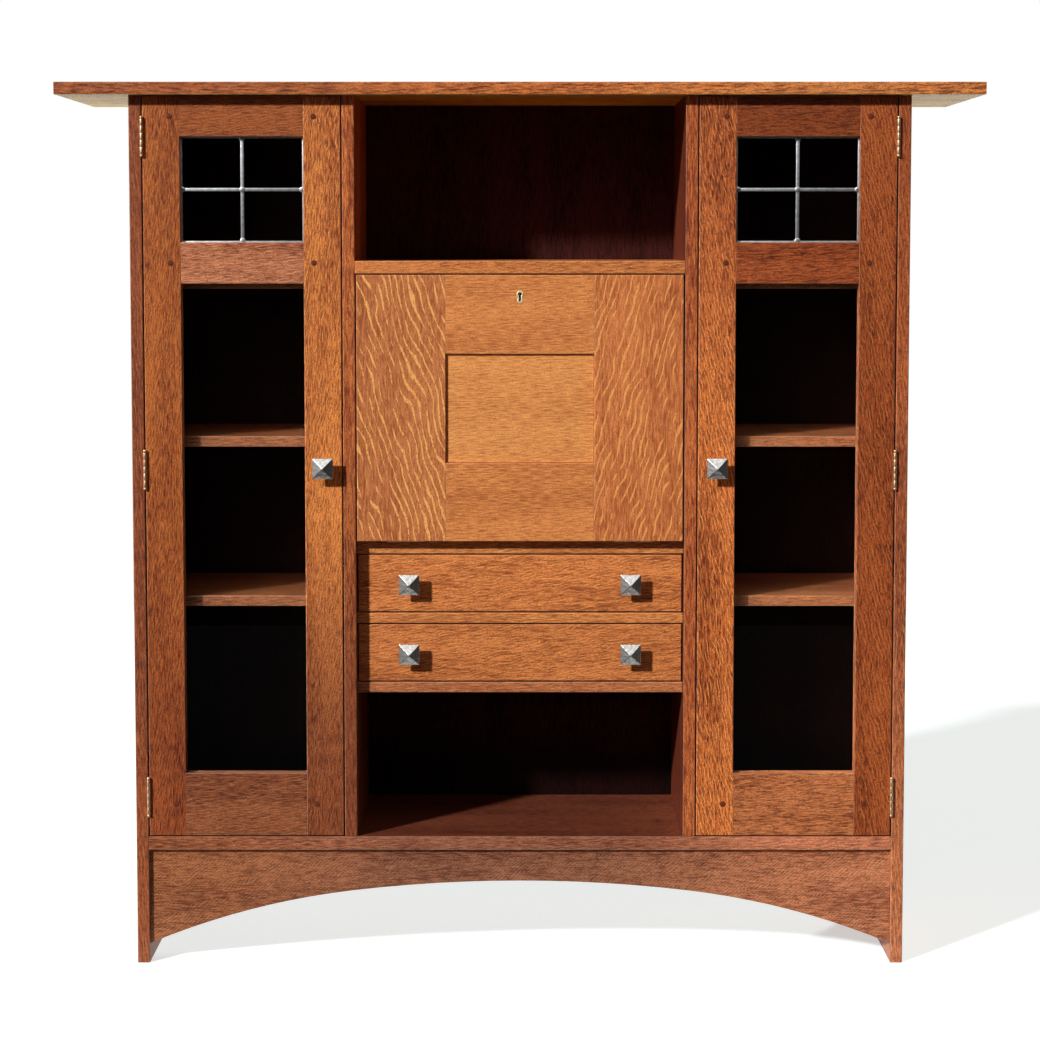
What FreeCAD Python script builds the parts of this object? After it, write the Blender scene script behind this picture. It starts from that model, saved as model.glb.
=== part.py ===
import FreeCAD, Part
import os
from math import asin, cos, pi, radians, sin, sqrt

# Secretary bookcase in oak: a wide top on two sides and two partitions, glazed doors in the side bays, and
# in the centre bay an open cubby, a fall-front desk, two drawers and a second cubby, over an arched apron.
# Millimetres, +X to the right, +Y to the back, +Z up, origin on the floor under the middle of the piece.

# Top board
overall_height = 1473.2
top_thickness = 20.6
side_overhang = 118.0
front_overhang = 22.0
rear_overhang = 28.0

# Case boards and their joints
case_width = 1288.0
case_depth = 305.6
upright = 20.5
centre_opening = 546.0
housing = 7.0
housing_stop = 14.0
arris = 0.8
small_round_sides = 8
back_thickness = 9.0
back_inset = 8.0
back_rabbet = 9.0
back_seam = 1.0

# Base board and arched apron
base_top = 216.0
base_thickness = 23.5
apron_recess = 7.0
apron_thickness = 20.0
arch_apex = 138.5
arch_crown_radius = 2380.0
arch_crown_half = 283.0
arch_haunch_radius = 1265.0

# Boards across the centre bay
cubby_shelf_top = 1180.8
cubby_shelf_thickness = 21.0
fall_stop_section = 12.0
desk_top = 713.3
desk_thickness = 22.0
drawer_rail_thickness = 17.5
drawer_rail_depth = 55.0
runner_width = 24.0

# Shelves in the side bays
lower_shelf_rise = 403.5
middle_shelf_rise = 672.0
highest_shelf_show = 8.7
shelf_thickness = 17.5
shelf_recess = 27.0
shelf_play = 0.6
pin_radius = 3.0
pin_length = 16.0
pin_inset = 36.0

# Glazed doors
door_gap = 2.0
door_thickness = 20.6
door_stile = 61.6
door_top_rail = 65.6
door_middle_rail = 68.2
upper_light_height = 173.6
door_bottom_rail = 105.8
door_tenon_length = 42.0
door_tenon_thickness = 7.0
tenon_haunch = 9.0
peg_radius = 4.75
peg_depth = 16.5
peg_from_edge = 17.0
glass_lip = 8.5
glass_rabbet = 8.0
glass_play = 0.8
glass_thickness = 3.0
came_depth = 5.0
came_flange = 1.0
came_width = 5.6
came_heart = 1.4
came_sight = 2.4

# Square pyramid knobs
knob_width = 34.0
knob_stand = 20.0
knob_lip = 2.4
knob_point = 10.0
knob_blunt = 1.4
knob_neck = 12.0
knob_neck_rise = 8.0
knob_foot = 17.0
door_knob_height = 838.0
drawer_knob_offset = 185.0

# Butt hinges of the doors
hinge_inset = 65.6
hinge_length = 58.0
hinge_knuckles = 5
hinge_barrel = 2.6
hinge_proud = 3.0
hinge_pin = 1.3
hinge_tip = 2.7
hinge_tip_rise = 2.2
hinge_tip_rings = 4
hinge_tip_crown = 75.0
leaf_thickness = 1.6
leaf_setback = 2.6
knuckle_gap = 0.2
running_fit = 0.06
swing_clearance = 0.4

# Magnetic catches of the doors
catch_width = 14.0
catch_depth = 16.0
catch_height = 44.0
catch_gap = 0.3
catch_plate_thickness = 1.2
catch_plate_inset = 1.5

# Fall front
fall_gap = 2.0
fall_foot_gap = 1.5
fall_thickness = 20.6
fall_stile = 147.8
fall_rail = 131.0
fall_tenon_length = 60.0
panel_recess = 4.8
panel_tongue = 8.0
panel_tongue_thickness = 6.0
panel_play = 0.4

# Hinges of the fall
fall_hinge_offset = 190.0
fall_hinge_length = 64.0
fall_hinge_barrel = 2.4
fall_hinge_knuckles = 3

# Slotted stays of the fall
stay_lean = 4.0
stay_lag = 25.0
stay_back_clearance = 16.5
stay_width = 12.0
stay_thickness = 2.5
stay_from_partition = 6.5
stay_pin = 2.5
stay_slot_play = 0.3
stay_head = 5.0
stay_plate_thickness = 2.0
stay_plate_length = 34.0
fall_opening_angle = 90.0

# Lock of the fall
keyhole_drop = 32.0
keyhole_radius = 3.0
keyhole_slot = 3.4
keyhole_drop_length = 12.3
escutcheon_upper = 5.75
escutcheon_lower = 4.9
escutcheon_waist = 7.6
escutcheon_spread = 9.75
escutcheon_thickness = 1.4
lock_width = 54.0
lock_height = 46.0
lock_depth = 10.0
bolt_width = 22.0
bolt_thickness = 4.0
bolt_height = 20.0
bolt_throw = 7.0
bolt_play = 0.3
bolt_pocket_play = 1.2

# Drawers
drawer_front_height = 95.5
drawer_front_thickness = 19.0
drawer_gap = 2.2
drawer_side_gap = 2.0
drawer_side_thickness = 12.0
drawer_side_drop = 7.0
drawer_rear_gap = 18.0
drawer_back_thickness = 11.0
drawer_back_housing = 4.0
drawer_bottom_thickness = 6.0
drawer_bottom_rise = 11.0
drawer_bottom_groove = 6.0
drawer_running_gap = 0.3
tail_length = 13.0
tail_height = 20.0
tail_flare = 2.2
tail_count = 3

# Pigeonholes at the back of the desk
pigeonhole_side_room = 25.0
pigeonhole_height = 196.0
pigeonhole_depth = 150.0
pigeonhole_shelf_rise = 92.0
pigeonhole_board = 9.0
pigeonhole_lower_bays = 3
pigeonhole_upper_bays = 5

# Planes that the pieces share
V = FreeCAD.Vector
knob_reach = knob_stand + knob_point
front = (knob_reach - case_depth - rear_overhang) / 2
rear = front + case_depth
under_top = overall_height - top_thickness
top_half = case_width / 2 + side_overhang
side_face = case_width / 2 - upright
bay_face = centre_opening / 2 + upright
centre_face = centre_opening / 2
panel_front = rear - back_inset - back_thickness
base_bottom = base_top - base_thickness
cubby_shelf_bottom = cubby_shelf_top - cubby_shelf_thickness
desk_bottom = desk_top - desk_thickness
recess = front + fall_thickness
drawer_pitch = drawer_front_height + 2 * drawer_gap
rail_top = desk_bottom - drawer_pitch
rail_bottom = rail_top - drawer_rail_thickness
deck_top = rail_bottom - drawer_pitch
deck_bottom = deck_top - drawer_rail_thickness
door_bottom = base_top + door_gap
door_top = under_top - door_gap
middle_rail_bottom = door_top - door_top_rail - upper_light_height - door_middle_rail
hinge_heights = (door_bottom + hinge_inset, (door_bottom + door_top) / 2, door_top - hinge_inset)
leaf_width = door_thickness - leaf_setback
highest_shelf_top = middle_rail_bottom - highest_shelf_show + shelf_thickness
shelf_tops = (base_top + lower_shelf_rise, base_top + middle_shelf_rise, highest_shelf_top)


def box(x0, x1, y0, y1, z0, z1):
    return Part.makeBox(x1 - x0, y1 - y0, z1 - z0, V(x0, y0, z0))


def rod(radius, start, end):
    axis = end - start
    return Part.makeCylinder(radius, axis.Length, start, axis)


def ring(centre, along, radius, sides):
    """The corners of a regular polygon round an axis."""
    across = V(along.z, along.x, along.y)
    upward = along.cross(across)
    turns = [2 * pi * (place + 0.5) / sides for place in range(sides)]
    return [centre + across * (radius * cos(turn)) + upward * (radius * sin(turn)) for turn in turns]


def flat(corners):
    return Part.Face(Part.makePolygon(corners + corners[:1]))


def dowel(radius, start, end):
    """A small round piece as a prism inside its radius."""
    axis = end - start
    along = V(axis).normalize()
    return flat(ring(start, along, radius, small_round_sides)).extrude(axis)


def bore(radius, start, end):
    """A small round hole as a prism outside its radius."""
    return dowel(radius / cos(pi / small_round_sides), start, end)


def stacked(rings):
    """A solid with flat faces between each ring of corners and the next."""
    faces = [flat(rings[0]), flat(rings[-1])]
    for low, high in zip(rings, rings[1:]):
        for place in range(len(low)):
            faces.append(flat([low[place - 1], low[place], high[place], high[place - 1]]))
    return Part.Solid(Part.Shell(faces))


def eased(shape, along, **planes):
    """Chamfers the straight edges that run along one axis and lie in the given planes."""
    near = 1e-4
    picked = []
    for edge in shape.Edges:
        bound = edge.BoundBox
        spans = {"x": bound.XLength, "y": bound.YLength, "z": bound.ZLength}
        middle = {"x": bound.Center.x, "y": bound.Center.y, "z": bound.Center.z}
        across = [span for axis, span in spans.items() if axis != along]
        in_plane = all(min(abs(middle[axis] - at) for at in places) < near for axis, places in planes.items())
        if max(across) < near and spans[along] > near and in_plane:
            picked.append(edge)
    return shape.makeChamfer(arris, picked)


def mirrored(shape):
    return shape.mirror(V(0, 0, 0), V(1, 0, 0))


def both_sides(solids):
    return list(solids) + [mirrored(solid) for solid in solids]


def save(node, *solids):
    whole = solids[0] if len(solids) == 1 else Part.makeCompound(list(solids))
    whole.exportStep("parts/%s.step" % node)


# Case


def upright_tongue(x0, x1, depth):
    """The stub on top of an upright that sits in the groove under the top board."""
    return box(x0, x1, front + housing_stop, front + depth - housing_stop, under_top, under_top + housing)


def base_tongue():
    """The end of the base board that is housed in the right side."""
    return box(side_face, side_face + housing, front + housing_stop, panel_front, base_bottom, base_top)


def apron_tongue():
    """The end of the apron that is housed in the right side, clear of the floor."""
    return box(side_face, side_face + housing, front + apron_recess, front + apron_recess + apron_thickness,
               arch_apex, base_bottom)


def partition_tongue():
    """The stub under the right partition that sits in the base board."""
    return box(centre_face, bay_face, front + housing_stop, panel_front, base_top - housing, base_top)


def cross_tongue(z0, z1, y0, y1):
    """The end of a centre board that is housed in the right partition."""
    return box(centre_face, centre_face + housing, y0 + housing_stop, y1, z0, z1)


def cross_tongues():
    return [cross_tongue(cubby_shelf_bottom, cubby_shelf_top, front, panel_front),
            cross_tongue(desk_bottom, desk_top, recess, panel_front),
            cross_tongue(rail_bottom, rail_top, recess, panel_front),
            cross_tongue(deck_bottom, deck_top, recess, panel_front)]


def hinge_axis(height):
    return V(side_face - door_gap / 2, front - hinge_proud, height)


def case_gain(height):
    """The shallow recess in the right side that a hinge leaf lies in."""
    return box(side_face, side_face + leaf_thickness, front, front + leaf_width,
               height - hinge_length / 2, height + hinge_length / 2)


def shelf_pins(grow=0.0):
    """The pins under the shelves of the right bay, half in the case and half under the shelf."""
    pins = []
    for shelf_top in shelf_tops:
        height = shelf_top - shelf_thickness - pin_radius
        for depth in (front + shelf_recess + pin_inset, panel_front - pin_inset):
            for face in (bay_face, side_face):
                start = V(face - pin_length / 2 - grow, depth, height)
                pins.append(dowel(pin_radius + grow, start, start + V(pin_length + 2 * grow, 0, 0)))
    return pins


def top_board():
    board = box(-top_half, top_half, front - front_overhang, rear + rear_overhang, under_top, overall_height)
    for height in (under_top, overall_height):
        board = eased(board, "x", y=(front - front_overhang, rear + rear_overhang), z=(height,))
        board = eased(board, "y", x=(-top_half, top_half), z=(height,))
    grooves = both_sides([upright_tongue(side_face, side_face + upright, case_depth),
                          upright_tongue(centre_face, bay_face, panel_front - front)])
    return board.cut(grooves)


def side():
    outer = side_face + upright
    board = box(side_face, outer, front, rear, 0, under_top)
    board = eased(board, "z", x=(side_face, outer), y=(front, rear))
    board = eased(board, "y", x=(side_face, outer), z=(0,))
    board = board.fuse(upright_tongue(side_face, outer, case_depth))
    rabbet = box(side_face, side_face + back_rabbet, panel_front, rear, base_bottom, under_top)
    cuts = [rabbet, base_tongue(), apron_tongue()] + shelf_pins(running_fit)
    cuts += [case_gain(height) for height in hinge_heights]
    return board.cut(cuts).removeSplitter()


def partition():
    board = box(centre_face, bay_face, front, panel_front, base_top, under_top)
    board = eased(board, "z", x=(centre_face, bay_face), y=(front,))
    board = board.fuse([upright_tongue(centre_face, bay_face, panel_front - front), partition_tongue()])
    return board.cut(cross_tongues() + shelf_pins(running_fit)).removeSplitter()


def base_board():
    board = box(-side_face, side_face, front, panel_front, base_bottom, base_top)
    board = eased(board, "x", y=(front,), z=(base_bottom, base_top))
    board = board.fuse(both_sides([base_tongue()]))
    return board.cut(both_sides([partition_tongue()])).removeSplitter()


def apron():
    """A board under the base whose lower edge is a flat crown arc run into two tighter haunch arcs."""
    crown_centre = arch_apex - arch_crown_radius
    spring = V(arch_crown_half, 0, crown_centre + sqrt(arch_crown_radius ** 2 - arch_crown_half ** 2))
    inward = (V(0, 0, crown_centre) - spring).normalize()
    haunch_centre = spring + inward * arch_haunch_radius

    def haunch(x):
        return V(x, 0, haunch_centre.z + sqrt(arch_haunch_radius ** 2 - (x - haunch_centre.x) ** 2))

    def left(point):
        return V(-point.x, 0, point.z)

    foot = haunch(side_face)
    middle = haunch((arch_crown_half + side_face) / 2)
    corner = V(side_face, 0, base_bottom)
    edges = [Part.LineSegment(left(corner), left(foot)),
             Part.Arc(left(foot), left(middle), left(spring)),
             Part.Arc(left(spring), V(0, 0, arch_apex), spring),
             Part.Arc(spring, middle, foot),
             Part.LineSegment(foot, corner),
             Part.LineSegment(corner, left(corner))]
    outline = Part.Wire([edge.toShape() for edge in edges])
    board = Part.Face(outline).extrude(V(0, apron_thickness, 0))
    board.translate(V(0, front + apron_recess, 0))
    return board.fuse(both_sides([apron_tongue()])).removeSplitter()


def back_panels():
    seam = (centre_face + bay_face) / 2
    middle = box(-seam + back_seam / 2, seam - back_seam / 2, panel_front, panel_front + back_thickness,
                 base_bottom, under_top)
    bay = box(seam + back_seam / 2, side_face + back_rabbet, panel_front, panel_front + back_thickness,
              base_bottom, under_top)
    return [middle] + both_sides([bay])


def cross_board(z0, z1, y0, y1):
    """A board across the centre bay, housed in both partitions."""
    board = box(-centre_face, centre_face, y0, y1, z0, z1)
    board = eased(board, "x", y=(y0,), z=(z0, z1))
    return board.fuse(both_sides([cross_tongue(z0, z1, y0, y1)])).removeSplitter()


def cubby_shelf():
    """The shelf over the desk, with the strip under it that the closed fall meets."""
    board = cross_board(cubby_shelf_bottom, cubby_shelf_top, front, panel_front)
    stop = box(-centre_face, centre_face, recess + catch_gap, recess + catch_gap + fall_stop_section,
               cubby_shelf_bottom - fall_stop_section, cubby_shelf_bottom)
    return [board.cut(grown(bolt_box(bolt_throw), bolt_pocket_play)), stop]


def desk_floor():
    board = cross_board(desk_bottom, desk_top, recess, panel_front)
    leaves = both_sides([bed_gain()])
    barrels = both_sides([fall_barrel(swing_clearance)])
    return board.cut(leaves + barrels)


def drawer_frame():
    """The web frame between the drawers: a front rail, two runners and a back rail."""
    rail_back = recess + drawer_rail_depth
    rail = cross_board(rail_bottom, rail_top, recess, rail_back)
    inner = centre_face - runner_width
    runner = box(inner, centre_face + housing, rail_back, panel_front, rail_bottom, rail_top)
    back_rail = box(-inner, inner, panel_front - drawer_rail_depth, panel_front, rail_bottom, rail_top)
    return [rail, back_rail] + both_sides([runner])


def bay_shelves():
    shelves = []
    for shelf_top in shelf_tops:
        y0 = front + shelf_recess
        z0 = shelf_top - shelf_thickness
        shelf = box(bay_face + shelf_play, side_face - shelf_play, y0, panel_front - shelf_play,
                    z0, shelf_top)
        shelves.append(eased(shelf, "x", y=(y0,), z=(z0, shelf_top)))
    return both_sides(shelves)


def door_catches():
    y0 = front + door_thickness + catch_plate_thickness + catch_gap
    catch = box(bay_face, bay_face + catch_width, y0, y0 + catch_depth,
                door_knob_height - catch_height / 2, door_knob_height + catch_height / 2)
    return both_sides([eased(catch, "z", x=(bay_face + catch_width,), y=(y0, y0 + catch_depth))])


# Glazed doors, modelled on the right and mirrored for the left

door_hinge_edge = side_face - door_gap
door_lock_edge = bay_face + door_gap
door_back = front + door_thickness
glass_left = door_lock_edge + door_stile
glass_right = door_hinge_edge - door_stile
lower_light = (door_bottom + door_bottom_rail, middle_rail_bottom)
upper_light = (middle_rail_bottom + door_middle_rail, door_top - door_top_rail)
door_rails = ((door_bottom, lower_light[0]), (lower_light[1], upper_light[0]), (upper_light[1], door_top))
tenon_front = front + glass_lip


def rabbets():
    """The steps behind the front lip that the panes lie in."""
    return [box(glass_left - glass_rabbet, glass_right + glass_rabbet, front + glass_lip, door_back,
                light[0] - glass_rabbet, light[1] + glass_rabbet) for light in (lower_light, upper_light)]


def frame_arris(x0, x1, z0, z1):
    """The wedge cut away where the front edges round an opening are eased, mitred at the corners."""
    rings = []
    for y, spread in ((front - arris, 2 * arris), (front + arris, 0)):
        rings.append([V(x0 - spread, y, z0 - spread), V(x1 + spread, y, z0 - spread),
                      V(x1 + spread, y, z1 + spread), V(x0 - spread, y, z1 + spread)])
    return stacked(rings)


def light_arrises():
    return [frame_arris(glass_left, glass_right, *light) for light in (lower_light, upper_light)]


def door_tenons():
    """The tenons of the rails, kept clear of the rabbets by a haunch at each edge."""
    return [box(x0, x0 + door_tenon_length, tenon_front, tenon_front + door_tenon_thickness,
                rail[0] + tenon_haunch, rail[1] - tenon_haunch)
            for rail in door_rails for x0 in (glass_left - door_tenon_length, glass_right)]


def door_pegs(grow=0.0):
    pegs = []
    for low, high in door_rails:
        for x in (glass_left - peg_from_edge, glass_right + peg_from_edge):
            start = V(x, front, (low + high) / 2)
            pegs.append(dowel(peg_radius + grow, start, start + V(0, peg_depth + grow, 0)))
    return pegs


def door_gain(height):
    """The shallow recess in the door's edge that a hinge leaf lies in."""
    return box(door_hinge_edge - leaf_thickness, door_hinge_edge, front, front + leaf_width,
               height - hinge_length / 2, height + hinge_length / 2)


def door_stiles():
    stiles = []
    for x0, x1 in ((door_lock_edge, glass_left), (glass_right, door_hinge_edge)):
        stile = box(x0, x1, front, door_back, door_bottom, door_top)
        stile = eased(stile, "z", x=(door_lock_edge, door_hinge_edge), y=(front, door_back))
        cuts = rabbets() + light_arrises() + door_tenons() + door_pegs(running_fit)
        cuts += [door_gain(height) for height in hinge_heights]
        stiles.append(stile.cut(cuts))
    return stiles


def door_rail_boards():
    boards = []
    for low, high in door_rails:
        board = box(glass_left, glass_right, front, door_back, low, high)
        tenons = [tenon for tenon in door_tenons() if low < tenon.BoundBox.Center.z < high]
        board = board.cut(rabbets() + light_arrises()).fuse(tenons)
        boards.append(board.cut(door_pegs(running_fit)).removeSplitter())
    return boards


def came_bar(x0, x1, z0, z1, along):
    """A length of lead came: two flanges joined by a thin heart between the panes."""
    y0 = front + glass_lip
    y1 = y0 + came_depth
    flanges = [box(x0, x1, y0, y0 + came_flange, z0, z1), box(x0, x1, y1 - came_flange, y1, z0, z1)]
    if along == "x":
        middle = (z0 + z1) / 2
        heart = box(x0, x1, y0, y1, middle - came_heart / 2, middle + came_heart / 2)
    else:
        middle = (x0 + x1) / 2
        heart = box(middle - came_heart / 2, middle + came_heart / 2, y0, y1, z0, z1)
    return heart.fuse(flanges)


def came_frame():
    """The outer edge of the leaded light, inside the rabbet."""
    reach = glass_rabbet - glass_play
    return (glass_left - reach, glass_right + reach, upper_light[0] - reach, upper_light[1] + reach)


def lead_came():
    """A cross of came inside a border of came that shows as a thin line along the frame."""
    x0, x1, z0, z1 = came_frame()
    border = glass_rabbet - glass_play + came_sight
    half = came_width / 2
    middle_x = (x0 + x1) / 2
    middle_z = (z0 + z1) / 2
    bars = [came_bar(x0, x1, z0, z0 + border, "x"),
            came_bar(x0, x1, z1 - border, z1, "x"),
            came_bar(x0, x0 + border, z0, z1, "z"),
            came_bar(x1 - border, x1, z0, z1, "z"),
            came_bar(x0 + border / 2, x1 - border / 2, middle_z - half, middle_z + half, "x"),
            came_bar(middle_x - half, middle_x + half, z0 + border / 2, z1 - border / 2, "z")]
    return bars[0].fuse(bars[1:]).removeSplitter()


def leaded_panes():
    """Four small panes whose edges stand in the channels of the came."""
    x0, x1, z0, z1 = came_frame()
    border = glass_rabbet - glass_play + came_sight
    y0 = front + glass_lip + came_flange
    y1 = y0 + came_depth - 2 * came_flange
    heart = came_heart / 2

    def spans(low, high):
        middle = (low + high) / 2
        return ((low + border / 2 + heart, middle - heart), (middle + heart, high - border / 2 - heart))

    return [box(left, right, y0, y1, low, high) for low, high in spans(z0, z1) for left, right in spans(x0, x1)]


def long_pane():
    reach = glass_rabbet - glass_play
    y0 = front + glass_lip
    return box(glass_left - reach, glass_right + reach, y0, y0 + glass_thickness,
               lower_light[0] - reach, lower_light[1] + reach)


def glass_stops():
    """Square beads behind each pane, the upright ones between the level ones."""
    stops = []
    for light, depth in ((lower_light, glass_thickness), (upper_light, came_depth)):
        y0 = front + glass_lip + depth
        outer_left = glass_left - glass_rabbet
        outer_right = glass_right + glass_rabbet
        for z0 in (light[0] - glass_rabbet, light[1]):
            stops.append(box(outer_left, outer_right, y0, door_back, z0, z0 + glass_rabbet))
        for x0 in (outer_left, glass_right):
            stops.append(box(x0, x0 + glass_rabbet, y0, door_back, light[0], light[1]))
    return stops


def knob(x, face, z):
    """A square head with a low pyramid front, on a square neck that spreads to its foot."""
    out = V(0, -1, 0)
    sections = ((0, knob_foot), (knob_neck_rise, knob_neck), (knob_stand - knob_lip, knob_width),
                (knob_stand, knob_width), (knob_reach, knob_blunt))
    return stacked([ring(V(x, face, z) + out * rise, out, width / sqrt(2), 4) for rise, width in sections])


def catch_plate():
    half = catch_height / 2 - catch_plate_inset
    return box(door_lock_edge + catch_plate_inset, bay_face + catch_width, door_back,
               door_back + catch_plate_thickness, door_knob_height - half, door_knob_height + half)


def knuckles(start, along, length, radius, count, grow=0.0):
    """The turned lengths of a hinge barrel, from the first end to the last."""
    pitch = length / count
    trim = knuckle_gap / 2 - grow / 2
    ends = [(pitch * place + trim, pitch * (place + 1) - trim) for place in range(count)]
    return [dowel(radius + grow, start + along * low, start + along * high) for low, high in ends]


def hinge_leaf(plate, start, along, length, radius, pin, count, first):
    """A leaf with every other knuckle of the barrel, cleared for the other leaf's knuckles and bored."""
    own = knuckles(start, along, length, radius, count)[first::2]
    other = knuckles(start, along, length, radius, count, swing_clearance)[1 - first::2]
    pin_hole = bore(pin + running_fit, start, start + along * length)
    return plate.cut(other).fuse(own).cut(pin_hole).removeSplitter()


def door_hinge_leaves(plate_x, first):
    leaves = []
    for height in hinge_heights:
        axis = hinge_axis(height - hinge_length / 2)
        plate = box(plate_x, plate_x + leaf_thickness, axis.y, front + leaf_width,
                    axis.z, axis.z + hinge_length)
        leaves.append(hinge_leaf(plate, axis, V(0, 0, 1), hinge_length, hinge_barrel, hinge_pin,
                                 hinge_knuckles, first))
    return leaves


def ball_tip(start, out):
    """The ball on the end of a hinge pin, flat where it stands over the barrel."""
    seat = -asin(hinge_tip_rise / hinge_tip)
    crown = radians(hinge_tip_crown)
    rings = []
    for place in range(hinge_tip_rings):
        latitude = seat + (crown - seat) * place / (hinge_tip_rings - 1)
        centre = start + out * (hinge_tip_rise + hinge_tip * sin(latitude))
        rings.append(ring(centre, out, hinge_tip * cos(latitude), small_round_sides))
    return stacked(rings)


def ball_pin(start, along, length):
    """A hinge pin with a ball tip at each end of the barrel."""
    end = start + along * length
    return dowel(hinge_pin, start, end).fuse([ball_tip(start, -along), ball_tip(end, along)]).removeSplitter()


# Fall front

fall_edge = centre_face - fall_gap
fall_bottom = desk_top + fall_foot_gap
fall_top = cubby_shelf_bottom - fall_gap
panel_edge = fall_edge - fall_stile
panel_low = fall_bottom + fall_rail
panel_high = fall_top - fall_rail
tongue_front = front + panel_recess + (fall_thickness - panel_recess - panel_tongue_thickness) / 2
fall_axis = V(0, recess, desk_top)


def grown(shape, margin):
    bound = shape.BoundBox
    return box(bound.XMin - margin, bound.XMax + margin, bound.YMin - margin, bound.YMax + margin,
               bound.ZMin - margin, bound.ZMax + margin)


def panel_groove():
    """The groove round the inside of the fall's frame that holds its panel."""
    reach = panel_tongue
    return box(-panel_edge - reach, panel_edge + reach, tongue_front, tongue_front + panel_tongue_thickness,
               panel_low - reach, panel_high + reach)


def panel_arris():
    return frame_arris(-panel_edge, panel_edge, panel_low, panel_high)


def fall_tenons():
    """The tenons at the right ends of the fall's rails."""
    return [box(panel_edge, panel_edge + fall_tenon_length,
                tongue_front, tongue_front + panel_tongue_thickness, low, high)
            for low, high in ((fall_bottom + tenon_haunch, panel_low - tenon_haunch),
                              (panel_high + tenon_haunch, fall_top - tenon_haunch))]


def fall_barrel(grow):
    start = fall_axis + V(fall_hinge_offset - fall_hinge_length / 2 - grow, 0, 0)
    return dowel(fall_hinge_barrel + grow, start, start + V(fall_hinge_length + 2 * grow, 0, 0))


def bed_gain():
    return box(fall_hinge_offset - fall_hinge_length / 2, fall_hinge_offset + fall_hinge_length / 2,
               recess, recess + leaf_width, desk_top - leaf_thickness, desk_top)


def fall_gain():
    return box(fall_hinge_offset - fall_hinge_length / 2, fall_hinge_offset + fall_hinge_length / 2,
               recess - leaf_thickness, recess, desk_top, desk_top + leaf_width)


def fall_stiles():
    stile = box(panel_edge, fall_edge, front, recess, fall_bottom, fall_top)
    stile = eased(stile, "z", x=(fall_edge,), y=(front, recess))
    stile = eased(stile, "x", y=(front,), z=(fall_bottom, fall_top))
    stile = stile.cut([panel_groove(), panel_arris(), fall_gain(), fall_barrel(swing_clearance)] + fall_tenons())
    return both_sides([stile])


def fall_rails():
    lower = box(-panel_edge, panel_edge, front, recess, fall_bottom, panel_low)
    upper = box(-panel_edge, panel_edge, front, recess, panel_high, fall_top)
    rails = []
    for rail, tenon in zip((lower, upper), fall_tenons()):
        rail = eased(rail, "x", y=(front,), z=(fall_bottom, fall_top))
        rail = rail.cut([panel_groove(), panel_arris()]).fuse(both_sides([tenon]))
        rails.append(rail.cut([lock_box(), keyhole(front - 1, recess), escutcheon_plate()]).removeSplitter())
    return rails


def fall_panel():
    """A flat panel, flush inside for writing on and set back outside, tongued into the frame."""
    body = box(-panel_edge + panel_play, panel_edge - panel_play, front + panel_recess, recess,
               panel_low + panel_play, panel_high - panel_play)
    reach = panel_tongue - panel_play
    tongue = box(-panel_edge - reach, panel_edge + reach, tongue_front, tongue_front + panel_tongue_thickness,
                 panel_low - reach, panel_high + reach)
    return body.fuse(tongue).removeSplitter()


keyhole_height = fall_top - keyhole_drop


def keyhole(y0, y1):
    round_part = rod(keyhole_radius, V(0, y0, keyhole_height), V(0, y1, keyhole_height))
    slot = box(-keyhole_slot / 2, keyhole_slot / 2, y0, y1,
               keyhole_height - keyhole_drop_length, keyhole_height)
    return round_part.fuse(slot).removeSplitter()


def escutcheon_plate():
    """The keyhole plate let in flush: a round head and a smaller round foot joined by a waist."""
    y1 = front + escutcheon_thickness
    head = V(0, front, keyhole_height)
    foot = V(0, front, keyhole_height - escutcheon_spread)
    inward = V(0, escutcheon_thickness, 0)
    waist = box(-escutcheon_waist / 2, escutcheon_waist / 2, front, y1, foot.z, head.z)
    discs = [rod(escutcheon_upper, head, head + inward), rod(escutcheon_lower, foot, foot + inward)]
    return waist.fuse(discs).removeSplitter()


def escutcheon():
    return escutcheon_plate().cut(keyhole(front - 1, recess))


def lock_box():
    return box(-lock_width / 2, lock_width / 2, recess - lock_depth, recess, fall_top - lock_height, fall_top)


def bolt_box(raised):
    middle = recess - lock_depth / 2
    return box(-bolt_width / 2, bolt_width / 2, middle - bolt_thickness / 2, middle + bolt_thickness / 2,
               fall_top - bolt_height + raised, fall_top + raised)


def lock_case():
    """The lock let into the top rail, with a channel for its bolt and the key's way in."""
    channel = grown(bolt_box(0), bolt_play)
    return lock_box().cut([channel, keyhole(recess - lock_depth, recess - lock_depth / 2)])


def bed_leaves():
    start = fall_axis + V(fall_hinge_offset - fall_hinge_length / 2, 0, 0)
    leaf = hinge_leaf(bed_gain(), start, V(1, 0, 0), fall_hinge_length, fall_hinge_barrel, hinge_pin,
                      fall_hinge_knuckles, 0)
    return both_sides([leaf])


def fall_leaves():
    start = fall_axis + V(fall_hinge_offset - fall_hinge_length / 2, 0, 0)
    leaf = hinge_leaf(fall_gain(), start, V(1, 0, 0), fall_hinge_length, fall_hinge_barrel, hinge_pin,
                      fall_hinge_knuckles, 1)
    return both_sides([leaf])


def fall_pins():
    start = fall_axis + V(fall_hinge_offset - fall_hinge_length / 2, 0, 0)
    return both_sides([dowel(hinge_pin, start, start + V(fall_hinge_length, 0, 0))])


# Stays: the pivot on the fall and the guide pin on the partition are equally far from the fall's hinge line,
# so each slotted arm turns half as far as the fall and its slot end stops the fall level. That distance is
# the longest for which the closed arm still clears the back

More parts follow.
